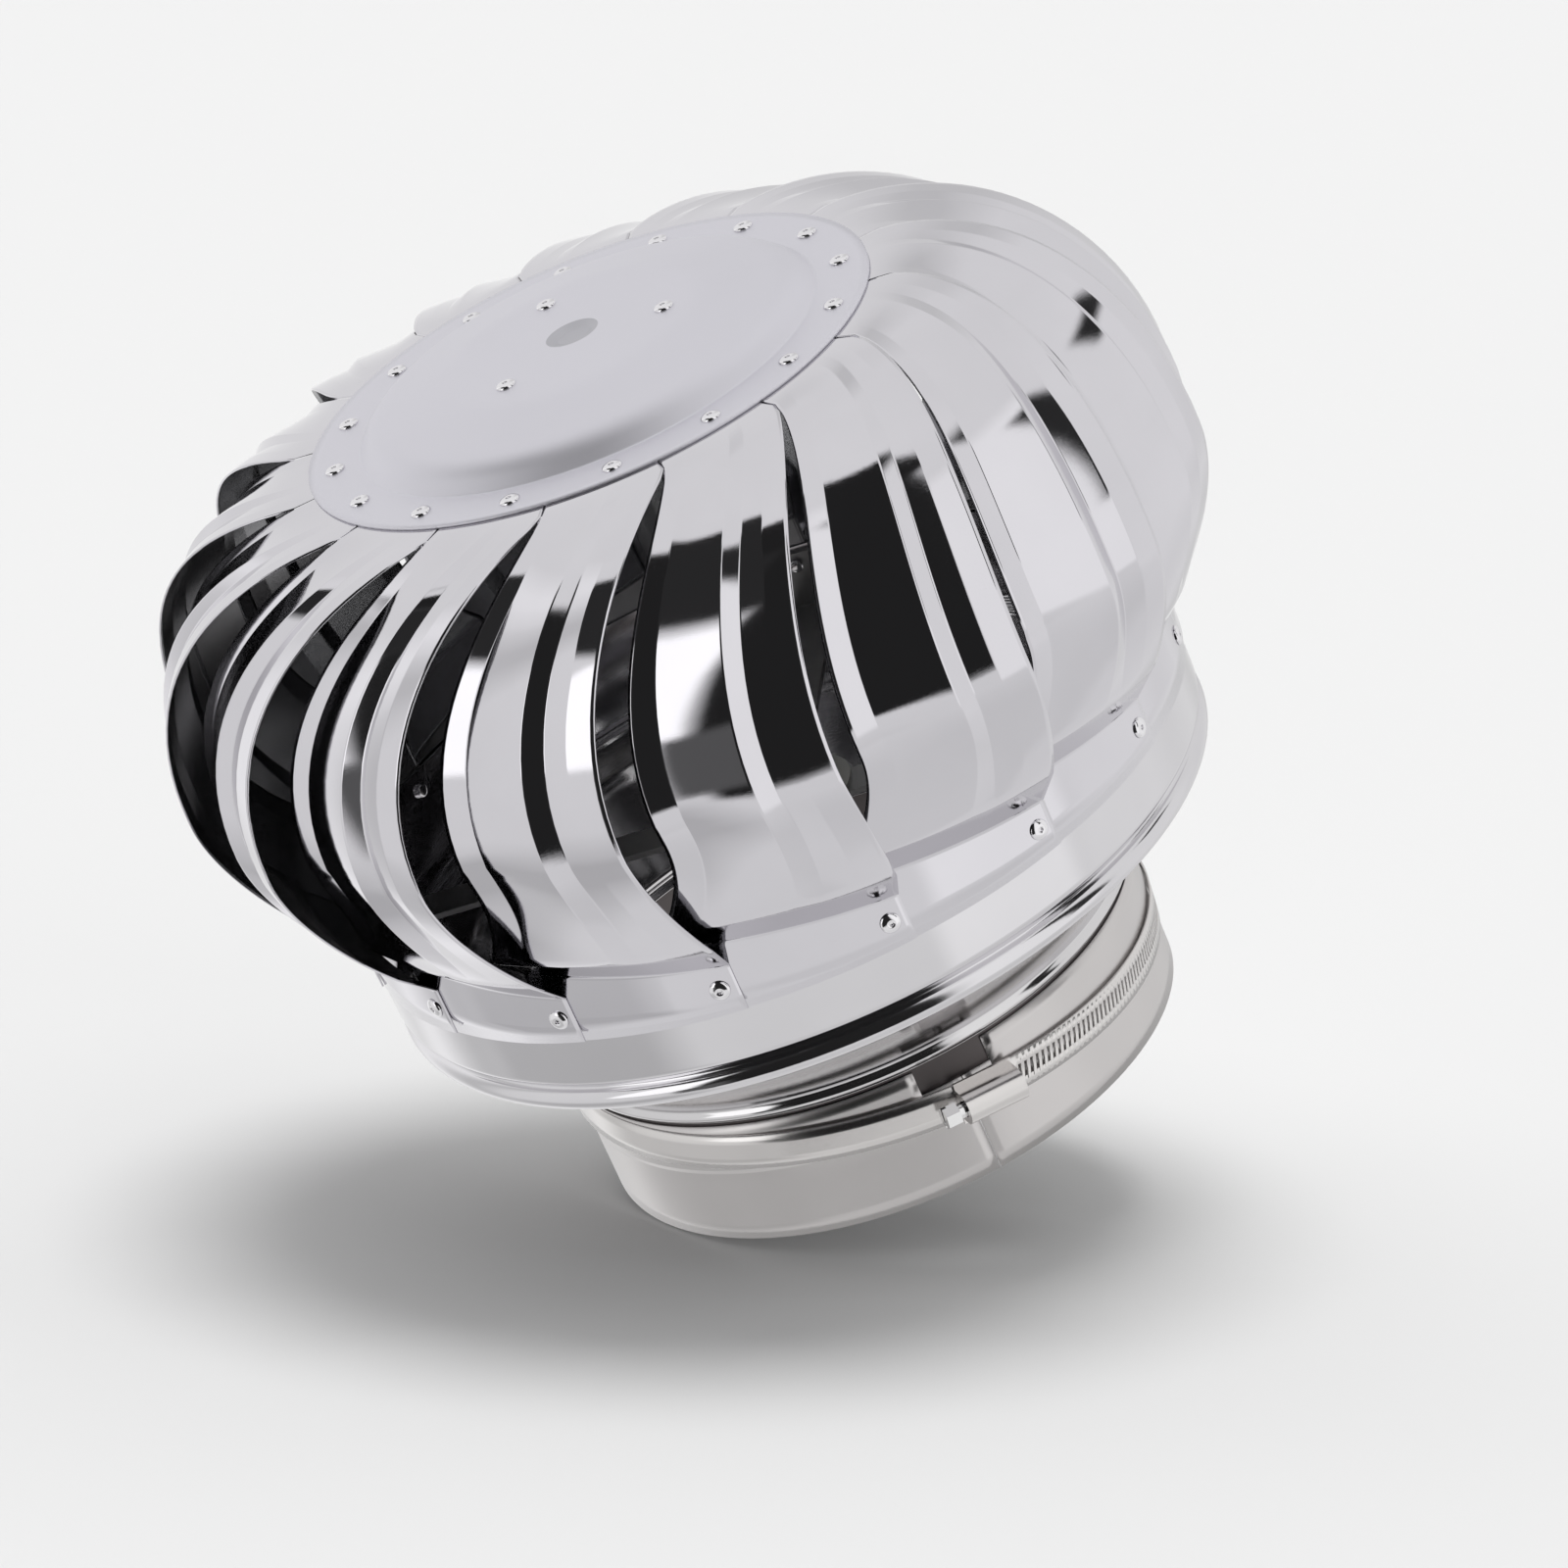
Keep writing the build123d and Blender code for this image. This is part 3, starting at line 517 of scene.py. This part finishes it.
def spun(name, line, materials, columns=192, loop=False, skip=None, azimuths=None):
    """Piece spun about the spin axis; a loop's last row joins its first, and skip leaves faces out."""
    if azimuths is None:
        azimuths = [360.0 * i / columns for i in range(columns)]
    points = [polar(r, a, z) for r, z in line for a in azimuths]
    rows = list(line) + ([line[0]] if loop else [])
    faces = grid_faces(len(rows), len(azimuths), closed=True)
    if loop:
        faces = [tuple(i % len(points) for i in face) for face in faces]
    if skip:
        width = len(azimuths)
        kept = []
        for face in faces:
            row, column = divmod(face[0], width)
            middle = (azimuths[column] + (azimuths[(column + 1) % width] - azimuths[column]) % 360 / 2)
            if not skip(middle, (line[row][1] + line[min(row + 1, len(line) - 1)][1]) / 2):
                kept.append(face)
        faces = kept
    return mesh_piece(name, points, faces, materials)


def sharpen(piece, angle=38.0):
    """Weld the piece's seams, and keep its edges over an angle sharp."""
    work = bmesh.new()
    work.from_mesh(piece.data)
    bmesh.ops.remove_doubles(work, verts=work.verts, dist=0.000001)
    work.to_mesh(piece.data)
    work.free()
    piece.data.set_sharp_from_angle(angle=radians(angle))


def stand_in(piece, body, slot, *replaced):
    """Ride the piece on its body, and let it stand for CAD nodes."""
    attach(piece, body)
    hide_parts(*replaced)


def make_cap(materials):
    """Cap with a flat rim, a dome and its dimple."""
    crown_z = cap_middle_z + dome_height
    corners = [(cap_rim_r, cap_middle_z), (dome_base_r, cap_middle_z),
               (dome_side_r, cap_middle_z + dome_side_rise), (dome_crown_r, crown_z),
               (dimple_r, crown_z), (dimple_r * dimple_floor_share, crown_z - dimple_depth),
               (0.0, crown_z - dimple_depth)]
    line = finer(rounded(corners, cap_bends, 8), 3 * mm)
    cap = spun("spun_cap", line, [materials["cap"], materials["dimple"]])
    # The dimple takes the darker cap steel, painted shade in the hollow.
    for polygon in cap.data.polygons:
        if hypot(polygon.center.x, polygon.center.y) < dimple_r:
            polygon.material_index = 1
    sharpen(cap)
    give_wall(cap, shell_sheet, offset=0.0)
    stand_in(cap, "rotor", "cap_steel", "top_cap")


def make_ring(materials):
    """Lower ring: plain wall, shallow groove and rolled bead."""
    inner_r = ring_outer_r - shell_sheet
    line = [(ring_waist_r, ring_waist_z)]
    line += rounded([(ring_waist_r, ring_waist_z), (ring_outer_r, ring_bend_z), (ring_outer_r, ring_top_z)],
                    [ring_bend_r])[1:]
    line += [(inner_r, ring_top_z), (inner_r, ring_bend_z), (ring_waist_r - shell_sheet, ring_waist_z)]
    for i in range(25):
        angle = radians(ring_bead_start + ring_bead_turn * i / 24)
        line.append((ring_bead_center_r + ring_bead_r * cos(angle), ring_bead_z + ring_bead_r * sin(angle)))
    ring = spun("rolled_ring", line, [materials["ring"]], loop=True)
    sharpen(ring, 50.0)
    stand_in(ring, "rotor", "ring_steel", "lower_ring")


def make_throat(materials):
    """Throat: spigot, stop bead and funnel."""
    rise = throat_mouth_z - throat_bead_top_z
    reach = throat_mouth_r - spigot_middle_r
    corners = [(spigot_middle_r, spigot_bottom_z), (spigot_middle_r, throat_bead_bottom_z + shell_sheet),
               (throat_bead_r, (throat_bead_bottom_z + throat_bead_top_z) / 2),
               (spigot_middle_r + shell_sheet, throat_bead_top_z)]
    corners += [(spigot_middle_r + reach * out, throat_bead_top_z + rise * up) for out, up in throat_shares]
    corners.append((throat_mouth_r, throat_mouth_z))
    line = finer(rounded(corners, throat_bends, 8), 4 * mm)
    throat = spun("spun_throat", line, [materials["throat"], materials["spigot_shade"]])
    # Below the stop bead the spigot takes the near-black steel, painted shade where it shows through the
    # notch and slit.
    for polygon in throat.data.polygons:
        if polygon.center.z < throat_bead_bottom_z:
            polygon.material_index = 1
    sharpen(throat, 60.0)
    give_wall(throat, shell_sheet, offset=0.0)
    stand_in(throat, "base", "throat_steel", "throat")


def make_collar(materials):
    """Split collar with its step, its slit and the notch in its upper edge."""
    slit_azimuth = clamp_azimuth + collar_slit_turn
    notch_azimuth = clamp_azimuth + collar_notch_turn
    half_slit = degrees(collar_slit / 2 / collar_lower_r)
    half_notch = degrees(collar_notch_width / 2 / collar_upper_r)
    marks = [slit_azimuth - half_slit, slit_azimuth + half_slit, notch_azimuth - half_notch,
             notch_azimuth + half_notch]
    azimuths = sorted({round(a, 4) for a in [2.0 * i for i in range(180)] + marks})
    lower = rounded([(collar_lower_r, 0.0), (collar_lower_r, collar_seat_z), (collar_upper_r, collar_step_z),
                     (collar_upper_r, collar_height - collar_notch_depth)], [collar_bend_r] * 2, 4)
    line = finer(lower + [(collar_upper_r, collar_height)], 5 * mm)

    def left_out(azimuth, height):
        in_slit = marks[0] < azimuth < marks[1]
        in_notch = marks[2] < azimuth < marks[3] and height > collar_height - collar_notch_depth
        return in_slit or in_notch

    collar = spun("split_collar", line, [materials["collar"]], azimuths=azimuths, skip=left_out)
    sharpen(collar)
    give_wall(collar, shell_sheet, offset=0.0)
    stand_in(collar, "base", "collar_steel", "neck_collar")


def clamp_frame():
    """Where the slanted clamp hangs."""
    return (Matrix.Translation((0.0, 0.0, clamp_z)) @ Matrix.Rotation(radians(clamp_tilt), 4, "Y")
            @ Matrix.Rotation(radians(clamp_azimuth), 4, "Z"))


def make_band(materials):
    """Band of the clamp with its slanted slots, which the worm's thread works in."""
    outer_r = band_inner_r + band_sheet
    count = round(360 / (band_slot_angle / 2) / 2) * 2
    step = 360.0 / count
    half = band_slot_height / 2
    rows = [(-band_width / 2, 0.0), (-half, 0.0), (half, band_slot_slant), (band_width / 2, band_slot_slant)]
    hang = clamp_frame()
    points = []
    for height, slant in rows:
        for column in range(count):
            points.append(hang @ polar(outer_r, (column + 2 * slant) * step, height))
    faces = []
    for row in range(3):
        for column in range(count):
            slotted = band_slots_start < column * step < band_slots_end and column % 2 == 0
            if row == 1 and slotted:
                continue
            after = (column + 1) % count
            faces.append((row * count + column, row * count + after, (row + 1) * count + after,
                          (row + 1) * count + column))
    band = mesh_piece("slotted_band", points, faces, [materials["clamp"]])
    sharpen(band)
    give_wall(band, band_sheet)
    stand_in(band, "base", "clamp_steel", "clamp_band")


def rivet_mesh(grip):
    """Points and faces of a blind rivet along Z, its head on the plane Z = 0."""
    line = [(0.0, -grip - rivet_tail_length)]
    line += rounded([(0.0, -grip - rivet_tail_length), (rivet_tail_r, -grip - rivet_tail_length),
                     (rivet_tail_r, -grip)], [0.6 * mm], 3)[1:]
    line += [(rivet_r, -grip), (rivet_r, 0.0), (rivet_head_r, 0.0), (rivet_head_r, rivet_rim_height)]
    for i in range(1, 9):
        angle = radians(90 * i / 9)
        line.append((rivet_crown_r + (rivet_head_r - rivet_crown_r) * cos(angle),
                     rivet_rim_height + (rivet_head_height - rivet_rim_height) * sin(angle)))
    line += [(radius, rivet_head_height - depth) for radius, depth in rivet_hole]
    columns = 28
    points = [polar(r, 360.0 * i / columns, z) for r, z in line for i in range(columns)]
    return points, grid_faces(len(line), columns, closed=True)


def make_rivets(name, spots, body, node, materials):
    """One piece of rivets, from a list of (matrix, grip)."""
    points = []
    faces = []
    for matrix, grip in spots:
        own_points, own_faces = rivet_mesh(grip)
        start = len(points)
        points += [matrix @ p for p in own_points]
        faces += [tuple(start + i for i in face) for face in own_faces]
    piece = mesh_piece(name, points, faces, [materials["rivet"]])
    sharpen(piece, 50.0)
    stand_in(piece, body, "rivet_steel", node)


def make_all_rivets(materials):
    """Rivets of the cap, the dome and the ring, where every fourth also holds an arm of the spider."""
    rim_z = cap_middle_z + shell_sheet / 2
    spots = [(turned(first_blade_azimuth + cap_rivet_turn + i * pitch)
              @ Matrix.Translation((0.0, -cap_rivet_r, rim_z)), cap_rivet_grip)
             for i in range(blade_count)]
    make_rivets("rim_rivets", spots, "rotor", "cap_rivets", materials)
    spots = [(turned(dome_rivet_azimuth + i * 120)
              @ Matrix.Translation((0.0, -dome_rivet_r, rim_z + dome_height)), dome_rivet_grip)
             for i in range(3)]
    make_rivets("crown_rivets", spots, "rotor", "dome_rivets", materials)
    spots = []
    for i in range(blade_count):
        grip = arm_rivet_grip if i % 4 == 0 else ring_rivet_grip
        spots.append((turned(first_blade_azimuth + ring_rivet_azimuth + i * pitch)
                      @ Matrix.Translation((0.0, -foot_r - 0.05 * mm, ring_rivet_z))
                      @ Matrix.Rotation(radians(90), 4, "X"), grip))
    make_rivets("foot_rivets", spots, "rotor", "ring_rivets", materials)


def make_camera():
    """Camera at the photograph's angle."""
    data = bpy.data.cameras.new("camera")
    data.lens = camera_lens
    data.sensor_width = camera_sensor
    data.clip_start = 0.05
    data.clip_end = 50.0
    camera = bpy.data.objects.new("camera", data)
    bpy.context.scene.collection.objects.link(camera)
    matrix = Matrix((camera_right, camera_up, camera_back)).transposed().to_4x4()
    matrix.translation = camera_place
    camera.matrix_world = matrix
    bpy.context.scene.camera = camera


def floor_normal():
    """Upward direction of the floor, on which the object lies tilted."""
    return Vector(floor_up).normalized()


def make_lamp():
    """Soft lamp over the floor, for the object's shadow; it shows in no reflection."""
    data = bpy.data.lights.new("softbox", "SUN")
    data.angle = radians(lamp_angle)
    data.energy = lamp_level
    lamp = bpy.data.objects.new("softbox", data)
    bpy.context.scene.collection.objects.link(lamp)
    lamp.location = floor_normal()
    lamp.rotation_euler = floor_normal().to_track_quat("Z", "Y").to_euler()
    lamp.visible_glossy = False


def make_floor():
    """Pale floor, seen from above only, which keeps the object's soft shadow."""
    normal = floor_normal()
    side = normal.cross(Vector((0.0, 1.0, 0.0))).normalized()
    ahead = normal.cross(side)
    lowest = -collar_lower_r * hypot(normal.x, normal.y)
    centre = normal * (lowest - floor_gap)
    corners = ((-1, -1), (1, -1), (1, 1), (-1, 1))
    points = [centre + side * (floor_reach * u) + ahead * (floor_reach * v) for u, v in corners]
    material, tree_nodes, links, output = new_material("floor_paper")
    diffuse = add(tree_nodes, "ShaderNodeBsdfDiffuse")
    clear = add(tree_nodes, "ShaderNodeBsdfTransparent")
    facing = add(tree_nodes, "ShaderNodeNewGeometry").outputs["Backfacing"]
    diffuse.inputs["Color"].default_value = (floor_colour, floor_colour, floor_colour, 1.0)
    mix = add(tree_nodes, "ShaderNodeMixShader")
    links.new(facing, mix.inputs["Fac"])
    links.new(diffuse.outputs["BSDF"], mix.inputs[1])
    links.new(clear.outputs["BSDF"], mix.inputs[2])
    links.new(mix.outputs["Shader"], output.inputs["Surface"])
    floor = mesh_piece("floor", points, [(0, 1, 2, 3)], [material], smooth=False)
    if floor.data.polygons[0].normal.dot(normal) < 0:
        floor.data.flip_normals()
    floor.visible_glossy = False


def math_node(tree, operation, first, second=None, clamp=False):
    """One step of arithmetic in the world's shader; numbers and sockets both do."""
    node = add(tree.nodes, "ShaderNodeMath", operation=operation, use_clamp=clamp)
    for index, value in enumerate((first, second)):
        if value is None:
            continue
        if isinstance(value, (int, float)):
            node.inputs[index].default_value = value
        else:
            tree.links.new(value, node.inputs[index])
    return node.outputs["Value"]


def card_mask(tree, azimuth, elevation, card):
    """1 on a card and 0 off it, with soft edges."""
    middle_a, middle_e, wide, high, soft = card
    beside = math_node(tree, "WRAP", math_node(tree, "SUBTRACT", azimuth, middle_a), 180.0)
    beside.node.inputs[2].default_value = -180.0
    masks = []
    for value, size in ((beside, wide), (math_node(tree, "SUBTRACT", elevation, middle_e), high)):
        gap = math_node(tree, "SUBTRACT", size / 2, math_node(tree, "ABSOLUTE", value))
        masks.append(math_node(tree, "ADD", math_node(tree, "DIVIDE", gap, soft), 0.5, clamp=True))
    return math_node(tree, "MULTIPLY", masks[0], masks[1])


def make_world():
    """Studio around the object: a pale tent with cards in it, and a plain backdrop for the camera."""
    world = bpy.data.worlds.new("studio")
    bpy.context.scene.world = world
    world.use_nodes = True
    tree = world.node_tree
    tree.nodes.clear()
    direction = add(tree.nodes, "ShaderNodeTexCoord").outputs["Generated"]
    split = add(tree.nodes, "ShaderNodeSeparateXYZ")
    tree.links.new(direction, split.inputs["Vector"])
    x, y, z = split.outputs["X"], split.outputs["Y"], split.outputs["Z"]
    to_degrees = 180 / pi
    around_z = math_node(tree, "ARCTAN2", x, math_node(tree, "MULTIPLY", y, -1.0))
    azimuth = math_node(tree, "MULTIPLY", around_z, to_degrees)
    elevation = math_node(tree, "MULTIPLY", math_node(tree, "ARCSINE", z), to_degrees)
    shade = math_node(tree, "ADD", tent_level, math_node(tree, "MULTIPLY", elevation, tent_slope))
    for level, card in studio_cards:
        mask = card_mask(tree, azimuth, elevation, card)
        change = math_node(tree, "MULTIPLY", math_node(tree, "SUBTRACT", level, shade), mask)
        shade = math_node(tree, "ADD", shade, change)
    studio = add(tree.nodes, "ShaderNodeBackground")
    tree.links.new(shade, studio.inputs["Color"])
    backdrop = add(tree.nodes, "ShaderNodeBackground")
    backdrop.inputs["Color"].default_value = (backdrop_level, backdrop_level, backdrop_level, 1.0)
    mix = add(tree.nodes, "ShaderNodeMixShader")
    tree.links.new(add(tree.nodes, "ShaderNodeLightPath").outputs["Is Camera Ray"], mix.inputs["Fac"])
    tree.links.new(studio.outputs["Background"], mix.inputs[1])
    tree.links.new(backdrop.outputs["Background"], mix.inputs[2])
    output = add(tree.nodes, "ShaderNodeOutputWorld")
    tree.links.new(mix.outputs["Shader"], output.inputs["Surface"])


def dress_nodes(materials):
    """Materials for the CAD nodes that stay as they are."""
    finishes = {
        "clamp_housing": "clamp", "clamp_screw": "screw", "base_bracket": "bracket",
        "axle": "axle", "axle_spacer": "axle", "axle_foot_nut": "zinc", "axle_foot_washer": "zinc",
        "axle_top_washer": "zinc", "axle_top_nut": "zinc", "lower_spider": "bracket",
        "lower_bearing_cup": "zinc", "lower_cup_rivets": "rivet", "upper_bearing_cup": "zinc",
        "upper_circlip": "spring",
        "lower_inner_race": "bearing", "upper_inner_race": "bearing", "lower_outer_race": "bearing",
        "upper_outer_race": "bearing", "lower_balls": "bearing", "upper_balls": "bearing",
        "lower_cage": "cage", "upper_cage": "cage", "lower_shields": "shield", "upper_shields": "shield",
    }
    for node, finish in finishes.items():
        piece = nodes[node]
        piece.data.materials.clear()
        piece.data.materials.append(materials[finish])


def main():
    """Build everything in order."""
    bpy.context.scene.view_settings.view_transform = "Standard"
    materials = make_materials()
    dress_nodes(materials)
    make_blades(materials)
    make_cap(materials)
    make_ring(materials)
    make_throat(materials)
    make_collar(materials)
    make_band(materials)
    make_all_rivets(materials)
    make_floor()
    make_lamp()
    make_world()
    make_camera()


main()
